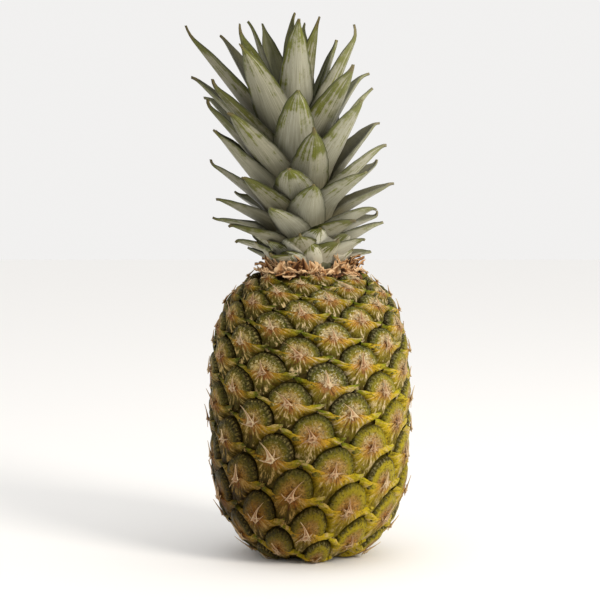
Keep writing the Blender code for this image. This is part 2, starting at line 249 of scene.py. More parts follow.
def blanksOnPointsTree():  # one blank on each point; the points' own values go with it
    tree, add, give = newTree("blanksOnPoints", {
        "Geometry": "Geometry", "blanks": "Collection", "kinds": "Int", "seed": "Int", "material": "Material",
        "mark": "String",
    })
    pick, own = [
        add("FunctionNodeRandomValue", 0.0, high, data_type="FLOAT", named={
            "Seed": add("ADD", give["seed"], shift),
        }) for high, shift in ((0.9999, 0.0), (1.0, 9.0))
    ]
    real = setBlanks(add, give, give["Geometry"], pick, own, give["mark"])
    add("NodeGroupOutput", add("GeometryNodeSetMaterial", named={"Geometry": real, "Material": give["material"]}))
    return tree


def growFromTable(name, table, blanks, finish, marks, seed, values=None):  # a numbered blank for each row of a table
    numbers = bpy.data.meshes.new(name + "Numbers")
    numbers.vertices.add(len(table))
    for label, column in {marks[0]: range(len(table)), **(values or {})}.items():
        writeAttribute(numbers, label, column)
    kinds = len(blanks)
    blanks = blankCollection(name + "Blank", blanks)
    piece = grow(name, numbers, blanksOnPointsTree(), {
        "blanks": blanks, "kinds": kinds, "seed": seed, "material": finish, "mark": marks[1],
    })
    dropCollection(blanks)
    return piece


def shapeBlanks(piece, table, marks, shape):  # moves each blank's points from plain measures to their own form
    mesh = piece.data
    blank = readPoints(mesh)
    numbers = np.rint(readAttribute(mesh, marks[0])).astype(int)
    chances = readAttribute(mesh, marks[1])
    places = np.empty_like(blank)
    for index, row in enumerate(table):
        mine = numbers == index
        places[mine] = shape(row, chances[mine][0], *blank[mine].T)
    mesh.vertices.foreach_set("co", places.astype(np.float32).ravel())
    mesh.update()


# (gain, shift) of a patch of colour by its place from side to side and by its height, then of its noise, and the
# noise's scale: the skin turns yellow low down as it ripens, and yellow on one side against green on the other, partly
# ripening and partly painted shade on the side away from the light; the bright yellow-green on its lower right flank
# is partly riper skin and partly painted light
skinPatches = {
    "ripeningAndPaintedShade": ((9.0, 0.42), (-3.4, 0.30), (1.1, -0.55), 24.0),
    "riperAndPaintedLight": ((24.0, 0.0), (-13.0, 0.72), (0.9, -0.45), 30.0),
}


def skinPatch(add, place, kind):  # 0 outside the patch, 1 inside it
    aside, high, broken, scale = skinPatches[kind]
    split = add("SeparateXYZ", place).outputs
    reach = add("ADD", add("MULTIPLY_ADD", split[0], *aside), add("MULTIPLY_ADD", split[2], *high))
    noise = add("MULTIPLY_ADD", add("TexNoise", place, scale, 2.0, 0.55), *broken)
    return add("ADD", reach, noise, use_clamp=True)


def flankTintAndPaintedShade(add, place, color):  # the greener flank is browner, partly its own colour and partly a tint of painted shade; low down the fruit is darker, partly its own darker olive and partly painted shade, most on that flank
    split = add("SeparateXYZ", place).outputs
    aside = add("ADD", split[0], 0.5)
    low = add("ValToRGB", split[2], stops=[(0.0, 0.4), (0.035, 1.0), (0.110, 0.0)])
    side = add("ValToRGB", aside, stops=[(0.49, 1.0), (0.54, 0.35)])
    brown = add("ValToRGB", aside, stops=[(0.455, 1.0), (0.51, 0.0)])
    # painted shade: the lower part darkened, most on the greener flank, which also gets the warm tint of shade
    for where, tint in ((add("MULTIPLY", low, side), "#aa986d"), (brown, "#fff0bc")):
        color = add("Mix", where, color, tint, data_type="RGBA", blend_type="MULTIPLY")
    return color


def eyeParts(add):  # what the materials of an eye read: its place, its map, its number, blotches 4 mm across, specks
    place = add("TexCoord").outputs["Object"]
    own = add("Attribute", attribute_name="eyeRandom").outputs["Fac"]
    mottle = add("TexNoise", place, 240.0, 4.0, 0.7)
    return place, add("UVMap", uv_map="eyeMap"), own, mottle, add("TexNoise", place, 900.0, 3.0, 0.7)


def discMaterial():  # waxy living rind: tan at its root, grey-green under a pale bloom, a dark green beaded rim with painted highlights on its beads and painted shade at its outer edge
    finish, add, shader = newMaterial("waxyRindDisc", 0.38, Specular_IOR_Level=0.08)
    place, spot, own, mottle, fine = eyeParts(add)
    split = add("SeparateXYZ", spot).outputs
    angle = add("ARCTAN2", split[1], split[0])
    far = add("VectorMath LENGTH", spot)
    blotch = add("MULTIPLY_ADD", mottle, 0.5, -0.25)
    radius = add("ADD", add("ADD", far, blotch), add("MULTIPLY_ADD", own, 0.16, -0.08))
    # in both ramps the last stops deepen the rim's own dark green with painted shade of the groove beside it
    green = add("ValToRGB", radius, stops=[
        (0.0, "#834f27"), (0.20, "#a67f43"), (0.42, "#957c41"), (0.62, "#665f20"), (0.78, "#454710"),
        (0.90, "#2b2d06"), (0.98, "#282406"),
    ])
    yellow = add("ValToRGB", radius, stops=[
        (0.0, "#a05e2c"), (0.20, "#c68f48"), (0.45, "#b48c38"), (0.65, "#8a7d22"), (0.80, "#5c5c12"),
        (0.90, "#47490d"), (0.98, "#2a2606"),
    ])
    # the split from green to yellow across the fruit is partly ripening and partly painted shade on the side away from
    # the light
    color = add("Mix", skinPatch(add, place, "ripeningAndPaintedShade"), green, yellow, data_type="RGBA")
    height = add("MULTIPLY", add("SeparateXYZ", place).outputs[2], 5.0)
    high = add("ValToRGB", height, stops=[(0.25, 0.25), (0.60, 1.0)])
    # a pale bloom between the root and the rim, more of it on the upper eyes
    bloom = add("MULTIPLY", add("TexNoise", place, 420.0, 4.0, 0.7), 0.5)
    bloom = add("ValToRGB", add("ADD", radius, bloom), stops=[(0.42, 0.0), (0.55, 1.0), (0.68, 1.0), (0.82, 0.0)])
    bloom = add("MULTIPLY", add("MULTIPLY", bloom, high), add("MULTIPLY_ADD", own, 0.55, 0.25))
    fleck = add("ValToRGB", add("TexNoise", place, 640.0, 4.0, 0.75), stops=[(0.53, 0.0), (0.60, 1.0)])
    inside = add("ValToRGB", far, stops=[(0.10, 0.75), (0.60, 0.75), (0.80, 0.1)])
    fleck = add("MULTIPLY", add("MULTIPLY", fleck, high), inside)
    # painted light: bright yellow on the outer disc on the lower right flank, partly riper skin and partly a painted
    # pool of light
    outer = add("ValToRGB", radius, stops=[(0.52, 0.0), (0.72, 0.85), (0.84, 0.85), (0.94, 0.1)])
    bright = add("MULTIPLY", skinPatch(add, place, "riperAndPaintedLight"), outer)
    # fine dry cracks about the root
    crack = add("ValToRGB", add("TexNoise", place, 520.0, 5.0, 0.8), stops=[(0.43, 0.0), (0.48, 1.0), (0.53, 0.0)])
    crack = add("MULTIPLY", crack, add("ValToRGB", far, stops=[(0.35, 0.75), (0.80, 0.15)]))
    # ribs across the rim, with pale painted highlights on some of them as beads
    wobble = add("MULTIPLY_ADD", mottle, 8.0, add("MULTIPLY", angle, 28.0))
    ribs = add("MULTIPLY_ADD", add("SINE", wobble), 0.5, 0.5)
    onRim = add("ValToRGB", far, stops=[(0.78, 0.0), (0.87, 1.0), (0.95, 1.0), (0.99, 0.0)])
    broken = add("ValToRGB", fine, stops=[(0.40, 0.0), (0.62, 1.0)])
    beads = add("MULTIPLY", add("MULTIPLY", ribs, onRim), broken)
    # painted highlights on the pale beads
    paintedBeadHighlights = add("MULTIPLY", beads, add("MULTIPLY_ADD", own, 0.5, 0.25))
    speck = add("MULTIPLY", add("ValToRGB", fine, stops=[(0.36, 1.0), (0.47, 0.0)]), 0.75)
    for where, tint in (
        (bloom, "#c9bf98"), (fleck, "#dcd4b6"), (bright, "#b6a620"), (crack, "#3d2410"), (paintedBeadHighlights, "#cfc58c"),
        (speck, "#2a1a08"),
    ):
        color = add("Mix", where, color, tint, data_type="RGBA")
    relief = add("ADD", add("MULTIPLY", beads, 1.2), add("MULTIPLY", mottle, 1.2))
    relief = add("ADD", relief, add("MULTIPLY", fine, 0.6))
    coat(add, shader, flankTintAndPaintedShade(add, place, color), relief, 0.9, 0.0010)
    return finish


def bractMaterial():  # leathery bract: pink-brown middle, yellow wings that end green, a dark striped foot
    finish, add, shader = newMaterial("leatheryBract", 0.45, Specular_IOR_Level=0.08)
    place, spot, own, mottle, fine = eyeParts(add)
    split = add("SeparateXYZ", spot).outputs  # across -1 to 1, down from the top edge 0 to 1
    across, down = add("ABSOLUTE", split[0]), split[1]
    blotch = add("MULTIPLY_ADD", mottle, 0.7, -0.35)
    # veins that fan out from the tip, about 1 mm apart
    ray = add("ARCTAN2", split[0], add("ADD", down, 0.16))
    reach = add("ADD", add("MULTIPLY", across, across), add("MULTIPLY", down, down))
    reach = add("MULTIPLY", add("SQRT", reach), 0.35)
    stripes = add("TexNoise", add("CombineXYZ", ray, reach, add("MULTIPLY", own, 9.0)), 7.0, 4.0, 0.7)
    wing = add("ADD", across, add("MULTIPLY", blotch, 0.6))
    greenTop = add("ValToRGB", wing, stops=[
        (0.0, "#8d5c38"), (0.20, "#a2753a"), (0.38, "#a28120"), (0.62, "#827a17"), (0.82, "#4b5912"), (1.0, "#2b370b"),
    ])
    yellowTop = add("ValToRGB", wing, stops=[
        (0.0, "#b07c4c"), (0.20, "#c69044"), (0.40, "#deae28"), (0.65, "#cab31f"), (0.85, "#909a1b"), (1.0, "#576a14"),
    ])
    greenFoot = add("ValToRGB", down, stops=[(0.2, "#62591a"), (0.6, "#454313"), (1.0, "#201d06")])
    yellowFoot = add("ValToRGB", down, stops=[(0.2, "#ad8d22"), (0.60, "#75691a"), (1.0, "#2c2806")])
    low = add("ADD", add("ADD", down, blotch), add("MULTIPLY_ADD", stripes, 0.9, -0.45))
    low = add("ADD", low, add("MULTIPLY", across, 0.15))
    low = add("ValToRGB", low, stops=[(0.16, 0.0), (0.36, 1.0)])
    green, yellow = [
        add("Mix", low, top, foot, data_type="RGBA") for top, foot in ((greenTop, greenFoot), (yellowTop, yellowFoot))
    ]
    # the split from green to yellow across the fruit is partly ripening and partly painted shade on the side away from
    # the light
    color = add("Mix", skinPatch(add, place, "ripeningAndPaintedShade"), green, yellow, data_type="RGBA")
    # painted light: bright yellow on the wings on the lower right flank, partly riper skin and partly a painted pool
    # of light
    outer = add("ValToRGB", wing, stops=[(0.15, 0.15), (0.45, 0.7)])
    bright = add("MULTIPLY", skinPatch(add, place, "riperAndPaintedLight"), outer)
    centre = add("MULTIPLY_ADD", across, -0.85, 1.05, use_clamp=True)
    vein = add("ValToRGB", stripes, stops=[(0.52, 0.0), (0.62, 1.0)])
    vein = add("MULTIPLY", vein, add("MULTIPLY_ADD", centre, 0.62, 0.22))
    dark = add("MULTIPLY", add("ValToRGB", stripes, stops=[(0.36, 1.0), (0.47, 0.0)]), 0.75)
    speck = add("MULTIPLY", add("ValToRGB", fine, stops=[(0.36, 1.0), (0.46, 0.0)]), 0.5)
    for where, tint in ((bright, "#d9c222"), (vein, "#dfc9a0"), (dark, "#341d07"), (speck, "#3d210a")):
        color = add("Mix", where, color, tint, data_type="RGBA")
    relief = add("ADD", add("MULTIPLY", stripes, 1.8), add("MULTIPLY", mottle, 0.9))
    coat(add, shader, flankTintAndPaintedShade(add, place, color), relief, 1.0, 0.0011)
    return finish


def dryMaterial(name, bright, middle, dark, variety):  # dry papery bract: matte, fibrous along it, pale at its edges
    finish, add, shader = newMaterial(name, 0.8, IOR=1.4)
    place = add("TexCoord").outputs["Object"]
    split = add("SeparateXYZ", add("UVMap", uv_map="eyeMap")).outputs
    own = add("Attribute", attribute_name="eyeRandom").outputs["Fac"]
    fibre = add("CombineXYZ", add("MULTIPLY", split[0], 6.0), add("MULTIPLY", split[1], 1.2), own)
    fibres = add("TexNoise", fibre, 3.0, 3.0, 0.6)
    tone = add("MULTIPLY", add("ABSOLUTE", split[0]), 0.55)
    for part in (
        add("MULTIPLY", fibres, 0.6), add("MULTIPLY_ADD", own, variety, -0.54 * variety),
        add("MULTIPLY_ADD", add("TexNoise", place, 330.0, 3.0, 0.55), 0.5, -0.3),
    ):
        tone = add("ADD", tone, part)
    color = add("ValToRGB", tone, stops=[(0.12, dark), (0.45, middle), (0.85, bright)])
    coat(add, shader, color, fibres, 0.6, 0.0004)
    return finish


def grooveMaterial():  # the green skin deep between the eyes, nearly black in the gaps
    finish, add, shader = newMaterial("grooveSkin", 0.7, Specular_IOR_Level=0.15)
    place = add("TexCoord").outputs["Object"]
    color = add("ValToRGB", add("TexNoise", place, 300.0, 3.0, 0.55), stops=[(0.3, "#33290a"), (0.7, "#5c4b15")])
    grain = add("TexNoise", place, 700.0, 3.0, 0.55)
    coat(add, shader, color, grain, 0.6, 0.0006)
    return finish


def leafMaterial():  # stiff leaf under a grey bloom of scales, worn green in patches, dry brown at its tip
    finish, add, shader = newMaterial("bloomedLeaf", 0.50, IOR=1.42)
    place = add("TexCoord").outputs["Object"]
    across, along, _ = add("SeparateXYZ", add("UVMap", uv_map="leafMap")).outputs  # across -1 to 1, along 0 to 1
    own, inner, length = [
        add("Attribute", attribute_name=name).outputs["Fac"] for name in ("leafRandom", "leafSide", "leafLength")
    ]
    grain = add(
        "CombineXYZ", add("MULTIPLY", across, 15.0),
        add("MULTIPLY", add("MULTIPLY", along, length), 0.9), add("MULTIPLY", own, 31.0),
    )
    veins = add("TexNoise", grain, 2.0, 4.0, 0.7)  # veins about 0.6 mm apart, drawn a little coarse
    bloom = add("TexNoise", place, 110.0, 5.0, 0.68)
    smear = add("TexNoise", grain, 0.55, 3.0, 0.6)
    grey = add("ValToRGB", veins, stops=[(0.30, "#8a8872"), (0.5, "#9f9d88"), (0.70, "#bab8a4")])
    small = add("ValToRGB", length, stops=[(0.6, 1.0), (1.8, 0.0)])  # the short leaves at the foot are paler, partly a paler bloom and partly painted light on low leaves that face up to the light
    # painted light: the short low leaves mixed towards pale grey
    grey = add("Mix", add("MULTIPLY", small, 0.75), grey, "#dcdac6", data_type="RGBA")
    greenSkin = add("ValToRGB", veins, stops=[(0.28, "#40450e"), (0.5, "#646916"), (0.72, "#888a2c")])
    # the bloom is rubbed off towards the tip, at the edges and in patches
    # the dark line along each edge is partly the leaf's own dark margin and partly painted shade where leaves overlap
    edge, margin = [add("POWER", add("ABSOLUTE", across), power) for power in (9.0, 4.0)]
    wear = add("MULTIPLY_ADD", add("POWER", along, 1.6), 0.87, -0.29)
    for part, gain, shift in (
        (bloom, 1.5, -0.80), (smear, 1.5, -0.75), (veins, 0.6, -0.30), (own, 0.3, -0.14), (margin, 0.34, 0.0),
    ):
        wear = add("ADD", wear, add("MULTIPLY_ADD", part, gain, shift))
    worn = add("MULTIPLY", add("ValToRGB", wear, stops=[(0.14, 0.0), (0.36, 1.0)]), 0.97)
    # the inner side is dull green, and on some leaves it has dried dark
    innerSkin = add("ValToRGB", veins, stops=[(0.3, "#3f4120"), (0.7, "#68683c")])
    dried = add("ValToRGB", own, stops=[(0.50, 0.0), (0.60, 0.8)])
    innerSkin = add("Mix", dried, innerSkin, "#332d18", data_type="RGBA")
    # scuffs: short dark scratches and pale rubbed streaks along the leaf
    scuff = add("TexNoise", grain, 1.3, 5.0, 0.8, 2.0, 1.2)
    scratch = add("MULTIPLY", add("ValToRGB", scuff, stops=[(0.32, 1.0), (0.38, 0.0)]), 0.75)
    rubbed = add("MULTIPLY", add("ValToRGB", scuff, stops=[(0.66, 0.0), (0.74, 1.0)]), 0.45)
    dry = add("ADD", along, add("MULTIPLY_ADD", bloom, 0.20, -0.10))
    dry = add("ADD", dry, add("MULTIPLY_ADD", own, 0.08, -0.05))
    dry = add("ValToRGB", dry, stops=[(0.90, 0.0), (0.94, 1.0)])
    dryTip = add("ValToRGB", veins, stops=[(0.35, "#3b3519"), (0.65, "#8a7d4a")])
    # each leaf has its own depth of colour, and its clasping foot is darkened with painted shade
    foot = add("ValToRGB", along, stops=[(0.05, 1.0), (0.40, 0.0)])
    foot = add("MULTIPLY", foot, add("SUBTRACT", 1.0, small))
    depth = add("ADD", add("MULTIPLY_ADD", own, 0.8, -0.30), foot, use_clamp=True)
    # painted shade darkens the leaves on one side of the crown, and painted light makes those on the other side paler
    aside = add("ADD", add("SeparateXYZ", place).outputs[0], 0.5)
    paintedShadeSide = add("ValToRGB", aside, stops=[(0.455, 0.6), (0.495, 0.0)])
    paintedLightSide = add("ValToRGB", aside, stops=[(0.508, 0.0), (0.545, 0.2)])
    color = grey
    for where, tint, blend in (
        (worn, greenSkin, "MIX"), (add("MULTIPLY", inner, 0.85), innerSkin, "MIX"),
        (add("MULTIPLY", edge, 0.9), "#2c2e14", "MIX"), (scratch, "#4a4430", "MIX"),
        (rubbed, "#cfccb4", "MIX"), (dry, dryTip, "MIX"), (depth, "#b4ab92", "MULTIPLY"),
        (paintedShadeSide, "#c4bfae", "MULTIPLY"), (paintedLightSide, "#d0cdb8", "MIX"),
    ):
        color = add("Mix", where, color, tint, data_type="RGBA", blend_type=blend)
    relief = add("ADD", add("MULTIPLY", veins, 0.45), add("MULTIPLY", bloom, 0.6))
    coat(add, shader, color, relief, 0.7, 0.0006)
    return finish


def stalkMaterial():  # dry cut stalk: pale pith with brown fibre ends
    finish, add, shader = newMaterial("dryCutStalk", 0.9, IOR=1.4)
    fibres = add("TexNoise", add("TexCoord").outputs["Object"], 900.0, 3.0, 0.7)
    color = add("ValToRGB", fibres, stops=[(0.3, "#6e5330"), (0.5, "#a88a5c"), (0.75, "#cdb58a")])
    coat(add, shader, color, fibres, 0.8, 0.0008)
    return finish


fruit = {
    "girthRadius": 0.0553,
    "widestAt": 0.0810,
    "shoulderHeight": 0.0850,
    "bellyDepth": 0.0840,
    "shoulderCurve": (2.9, 3.5),
    "bellyCurve": (2.0, 3.2),
    "lowestEye": -72,
    "highestEye": 64,
    "turn": math.radians(137.45),
    "firstTurn": math.radians(-81.3),
    "firstRise": 0.0270,
    "rise": 0.001475,
    "shrink": 2.13,
    "widening": 0.104,
    "twist": -35.2,
    "twistFrom": 0.020,
    "pressed": 0.0012,
    "skinDepth": 0.0009,
    "stalkRadius": 0.0122,
    "outlineSteps": 801,
    "around": 96,
    "seed": 7,
}
spiralSizes = (
    "girthRadius", "firstTurn", "firstRise", "turn", "rise", "shrink", "widening", "twist", "twistFrom",
)


def outlinePoints():  # the fruit's outline from its lowest point to its top, as (radius, height)
    heights = np.linspace(-fruit["bellyDepth"], fruit["shoulderHeight"], fruit["outlineSteps"])
    points = []
    for height in heights:
        above = height > 0
        curve = fruit["shoulderCurve"] if above else fruit["bellyCurve"]
        reach = fruit["shoulderHeight"] if above else fruit["bellyDepth"]
        radius = fruit["girthRadius"] * max(0.0, 1 - abs(height / reach) ** curve[1]) ** (1 / curve[0])
        points.append((radius, fruit["widestAt"] + height))
    return np.array(points)


def outlineObject(points):
    mesh = meshFrom("outline", [(r, 0, z) for r, z in points], [], smooth=False)
    mesh.edges.add(len(points) - 1)
    mesh.edges.foreach_set("vertices", np.ravel([(k, k + 1) for k in range(len(points) - 1)]))
    return bpy.data.objects.new("outline", mesh)


def eyesOnFruitTree():  # sets eye blanks along the spiral on unrolled skin, then rolls the skin round the outline
    tree, add, give = newTree("eyesOnFruit", {
        "Geometry": "Geometry", "blanks": "Collection", "outline": "Object", "material": "Material",
        **dict.fromkeys(("lowest", "count", "kinds", "seed"), "Int"),
        **dict.fromkeys(("widestLength", "roughness", *spiralSizes), "Float"),
    })
    pick, turn, *size, own = [
        add("FunctionNodeRandomValue", low, high, data_type="FLOAT", named={
            "Seed": add("ADD", give["seed"], shift),
        }) for low, high, shift in (
            (0.0, 0.9999, 3), (-0.07, 0.07, 11), (0.96, 1.04, 21), (0.95, 1.05, 22), (0.88, 1.1, 23), (0.0, 1.0, 31),
        )
    ]
    number = add("ADD", add("GeometryNodeInputIndex"), give["lowest"])
    along = add("MULTIPLY_ADD", number, give["turn"], give["firstTurn"])
    along = add("MULTIPLY", along, give["girthRadius"])
    up = add("MULTIPLY_ADD", number, give["rise"], give["firstRise"])
    eyes = add("GeometryNodePoints", give["count"], add("CombineXYZ", along, up))
    real = setBlanks(
        add, give, eyes, pick, own, "eyeRandom", Rotation=add("CombineXYZ", 0.0, 0.0, turn),
        Scale=add("CombineXYZ", *size),
    )
    # roll up: x runs round the girth, y up the outline, z out of the skin
    place = add("GeometryNodeInputPosition")
    x, y, z = add("SeparateXYZ", place).outputs
    rough = add("SUBTRACT", add("TexNoise", place, 170.0, 2.0), 0.5)
    lift = add("MULTIPLY_ADD", rough, give["roughness"], z)
    shrunk = add("MULTIPLY", y, add("SUBTRACT", 1.0, add("MULTIPLY", y, give["shrink"])))
    outline = add("GeometryNodeObjectInfo", give["outline"]).outputs["Geometry"]
    sample = add("GeometryNodeSampleCurve", mode="LENGTH", named={
        "Curves": add("GeometryNodeMeshToCurve", outline), "Length": add("ADD", shrunk, give["widestLength"]),
    })
    spot = add("SeparateXYZ", sample.outputs["Position"]).outputs
    way = add("SeparateXYZ", sample.outputs["Tangent"]).outputs
    radius = add("MULTIPLY_ADD", lift, way[2], spot[0])
    height = add("SUBTRACT", spot[2], add("MULTIPLY", lift, way[0]))
    # what would hang below the base is pressed flat above the floor, one layer over another
    press = fruit["pressed"]
    squashed = add("SUBTRACT", 2 * press, add("MINIMUM", height, press))
    squashed = add("DIVIDE", press * press, squashed)
    height = add("ADD", squashed, add("MAXIMUM", add("SUBTRACT", height, press), 0.0))
    above = add("SUBTRACT", y, give["twistFrom"])
    angle = add("DIVIDE", x, give["girthRadius"])
    angle = add("MULTIPLY_ADD", add("MULTIPLY", above, above), give["twist"], angle)
    angle = add("MULTIPLY_ADD", add("COSINE", angle), give["widening"], angle)
    out, aside = [add("MULTIPLY", radius, add(part, angle)) for part in ("COSINE", "SINE")]
    moved = add("GeometryNodeSetPosition", named={"Geometry": real, "Position": add("CombineXYZ", out, aside, height)})
    add("NodeGroupOutput", add("GeometryNodeSetMaterial", named={"Geometry": moved, "Material": give["material"]}))
    return tree


eyeDisc = {
    "halfWidth": 0.0112, "above": 0.0134, "below": 0.0046, "spokes": 56, "ribs": 28, "ribHeight": 0.16,
    "rings": (0.0, 0.16, 0.32, 0.47, 0.61, 0.73, 0.83, 0.90, 0.95, 0.99, 1.03),
    # height of the dome over the skin by distance from its middle, in millimetres
    "section": (
        (0.0, 2.4), (0.25, 2.8), (0.5, 3.3), (0.7, 3.4), (0.83, 3.0), (0.9, 2.5), (0.95, 1.8), (0.99, 0.7),
        (1.03, -1.2),
    ),
}


def discBlank(seed):  # one eye's disc lying flat: a half dome, dished towards its root, with a ribbed rim
    draw = np.random.default_rng(seed)
    spokes = eyeDisc["spokes"]
    angles = np.arange(spokes) * 2 * math.pi / spokes
    waves = [(k, draw.uniform(0.006, 0.02), draw.uniform(0, 6.28)) for k in (2, 3, 5, 8)]
    outline = 1 + sum(size * np.cos(k * angles + phase) for k, size, phase in waves)
    lumps = [(k, draw.uniform(0.05, 0.18), draw.uniform(0, 6.28)) for k in (3, 5, 7, 12)]
    section = np.array(eyeDisc["section"])
    points, spots = [(0, 0, section[0, 1] / 1000)], [(0, 0)]
    for ring in eyeDisc["rings"][1:]:
        lift = np.interp(ring, section[:, 0], section[:, 1])
        lump = sum(size * np.cos(k * angles + phase) for k, size, phase in lumps) * math.sin(math.pi * min(ring, 1))
        uneven = 0.6 + 0.4 * np.cos(3 * angles + lumps[0][2])
        rib = eyeDisc["ribHeight"] * np.cos(eyeDisc["ribs"] * angles) * uneven * (0.80 < ring < 0.97)
        for angle, edge, high in zip(angles, outline, lift + lump + rib):
            u, v = ring * math.cos(angle), ring * math.sin(angle)
            tall = eyeDisc["above"] if v > 0 else eyeDisc["below"]
            points.append((u * eyeDisc["halfWidth"] * edge, v * tall * edge, (high + min(v, 0) * 1.2) / 1000))
            spots.append((u, v))
    faces = [(0, 1 + k, 1 + (k + 1) % spokes) for k in range(spokes)]
    faces += flipped(gridFaces(len(eyeDisc["rings"]) - 1, spokes, True, 1))
    return meshFrom("disc", points, faces, {"eyeMap": spots})


eyeBract = {
    "halfWidth": 0.0170, "rise": 0.0022, "skew": 0.0026, "lowest": (-0.0039, -0.0172), "columns": 33, "rows": 14,
    "lipLift": 3.9, "wingLift": 2.7, "footLift": 1.3, "foldHeight": 0.20,  # in millimetres
}


def clearOfDiscs(x, y):  # how far a place on the flat skin is outside the discs of the eyes around, in disc widths
    near = 9.0
    for step in (-8, -13, -5, 5, -21):
        angle = (step * fruit["turn"] + math.pi) % (2 * math.pi) - math.pi
        across = (x - angle * fruit["girthRadius"]) / eyeDisc["halfWidth"]
        up = y - step * fruit["rise"]
        up /= eyeDisc["above"] if up > 0 else eyeDisc["below"]
        near = min(near, math.hypot(across, up) - 1)
    return near


def bractBlank(seed):  # the bract spread below a disc: a winged shield that narrows to its foot between two discs
    draw = np.random.default_rng(seed)
    shape = eyeBract
    footX, footY = shape["lowest"]
    phase = draw.uniform(0, 6.28, 5)
    points, spots = [], []
    downs = np.concatenate([[-0.10, 0.0], np.linspace(0.04, 1, shape["rows"] - 2) ** 1.1])
    for down in downs:
        for side in np.linspace(-1, 1, shape["columns"]):
            x = side * shape["halfWidth"]
            top = shape["rise"] * abs(side) ** 2.5 - shape["skew"] * side
            top += 0.0004 * math.sin(5 * side + phase[0]) + 0.0002 * math.sin(13 * side + phase[1])
            reach = (x - footX) / ((-1 if x < footX else 1) * shape["halfWidth"] - footX)
            foot = footY + (top - 0.0006 - footY) * abs(reach)
            share = max(down, 0.0)
            y = top + (foot - top) * share
            depth = (top - y) / 0.016
            lip = shape["wingLift"] + (shape["lipLift"] - shape["wingLift"]) * (1 - abs(side) ** 1.3)
            lift = shape["footLift"] + (lip - shape["footLift"]) * (1 - min(depth, 1)) ** 1.5
            ray = math.atan2(x, 0.003 - y + top)
            fold = math.sin(17 * ray + phase[2]) + 0.6 * math.sin(31 * ray + phase[3])
            lift += shape["foldHeight"] * fold * min(depth * 5, 1)
            clear = clearOfDiscs(x, y)
            lift = lift * float(smoothStep(-0.03, 0.22, clear)) - 1.3 * float(smoothStep(0.07, -0.05, clear))
            if down < 0:  # the lip turns down into the groove
                y += 0.0007
                lift -= 2.2
            points.append((x, y, lift / 1000))
            spots.append((side, depth))
    faces = flipped(gridFaces(len(downs), shape["columns"]))
    return meshFrom("bract", points, faces, {"eyeMap": spots})


eyeTip = {
    "length": 0.0108, "halfWidth": 0.00095, "thickness": 0.00026, "standing": 0.0036, "root": 0.0009, "columns": 3,
    "rows": 8,
}


def tipBlank(seed):  # the bract's dry tip: a thin folded spire over the disc, with shreds about its root
    draw = np.random.default_rng(seed)
    turn, length = draw.uniform(-0.22, 0.22), eyeTip["length"] * draw.uniform(0.6, 1.1)
    blades = [(turn, length, eyeTip["halfWidth"], draw.uniform(0, 2.2))]
    for _ in range(draw.integers(3, 6)):
        turn = draw.choice((-1, 1)) * draw.uniform(0.4, 2.1)
        blades.append((turn, draw.uniform(0.0024, 0.0062), draw.uniform(0.0004, 0.0008), draw.uniform(-0.6, 0.9)))
    points, spots, faces = [], [], []
    rows, columns = eyeTip["rows"], eyeTip["columns"]
    for turn, length, halfWidth, curl in blades:
        start = len(points)
        sway = draw.uniform(-0.6, 0.6)
        for under in (0, 1):
            for row in range(rows):
                along = row / (rows - 1)
                half = halfWidth * (1.9 * (1 - along) ** 4 + 0.62 * (1 - along ** 1.6)) + 0.00005
                for column in range(columns):
                    side = column / (columns - 1) * 2 - 1
                    ahead = length * along
                    aside = sway * length * along * along + side * half
                    lift = eyeTip["standing"] + 0.0007 * math.sin(2.6 * along) + curl * 0.0011 * along * along
                    lift += 0.7 * half * abs(side) - under * eyeTip["thickness"]
                    points.append((
                        aside * math.cos(turn) + ahead * math.sin(turn),
                        ahead * math.cos(turn) - aside * math.sin(turn) - eyeTip["root"], lift,
                    ))
                    spots.append((side, along))
        faces += sheetFaces(rows, columns, start, upperFirst=True)
    return meshFrom("tip", points, faces, {"eyeMap": spots})


def buildFruit():
    tree = eyesOnFruitTree()
    points = outlinePoints()
    outline = outlineObject(points)
    lengths = np.concatenate([[0], np.cumsum(np.hypot(*np.diff(points, axis=0).T))])
    widest = float(np.interp(fruit["widestAt"], points[:, 1], lengths))
    pieces = []
    dryTip = dryMaterial("dryBractTip", "#d6c098", "#ab815a", "#63401f", 0.35)
    for name, blank, kinds, finish, rough in (
        ("eyeDiscs", discBlank, 6, discMaterial(), 0.0007),
        ("eyeBracts", bractBlank, 6, bractMaterial(), 0.0006),
        ("bractTips", tipBlank, 9, dryTip, 0.0),
    ):
        blanks = blankCollection(name + "Blank", [blank(31 + k) for k in range(kinds)])
        piece = grow(name, bpy.data.meshes.new(name + "Start"), tree, {
            "blanks": blanks, "outline": outline, "widestLength": widest, "lowest": fruit["lowestEye"],
            "count": fruit["highestEye"] - fruit["lowestEye"] + 1, "kinds": kinds, "roughness": rough,
            "seed": fruit["seed"], "material": finish, **{size: fruit[size] for size in spiralSizes},
        })
        dropCollection(blanks)
        pieces.append(piece)
        print(name, len(piece.data.polygons))
    bpy.data.objects.remove(outline)
    # the skin under the eyes, turned, a little inside the outline and nowhere under the floor
    floorGap, topGap, around = 0.0003, 0.0004, fruit["around"]
    profile = [(r - fruit["skinDepth"], z) for r, z in points[::10] if r > 0.0135]
    profile = [(fruit["stalkRadius"], floorGap)] + [(r, max(z, floorGap)) for r, z in profile]
    skin = ringPoints(profile, around) + [(0, 0, seatHeight - topGap)]
    faces = gridFaces(len(profile), around, True) + capFaces((len(profile) - 1) * around, around, len(skin) - 1)
    core = addPiece("rindSkin", meshFrom("rindSkin", skin, faces), grooveMaterial())
    pieces.append(core)
    for piece in pieces:
        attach(piece, "root")
    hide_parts("fruit")


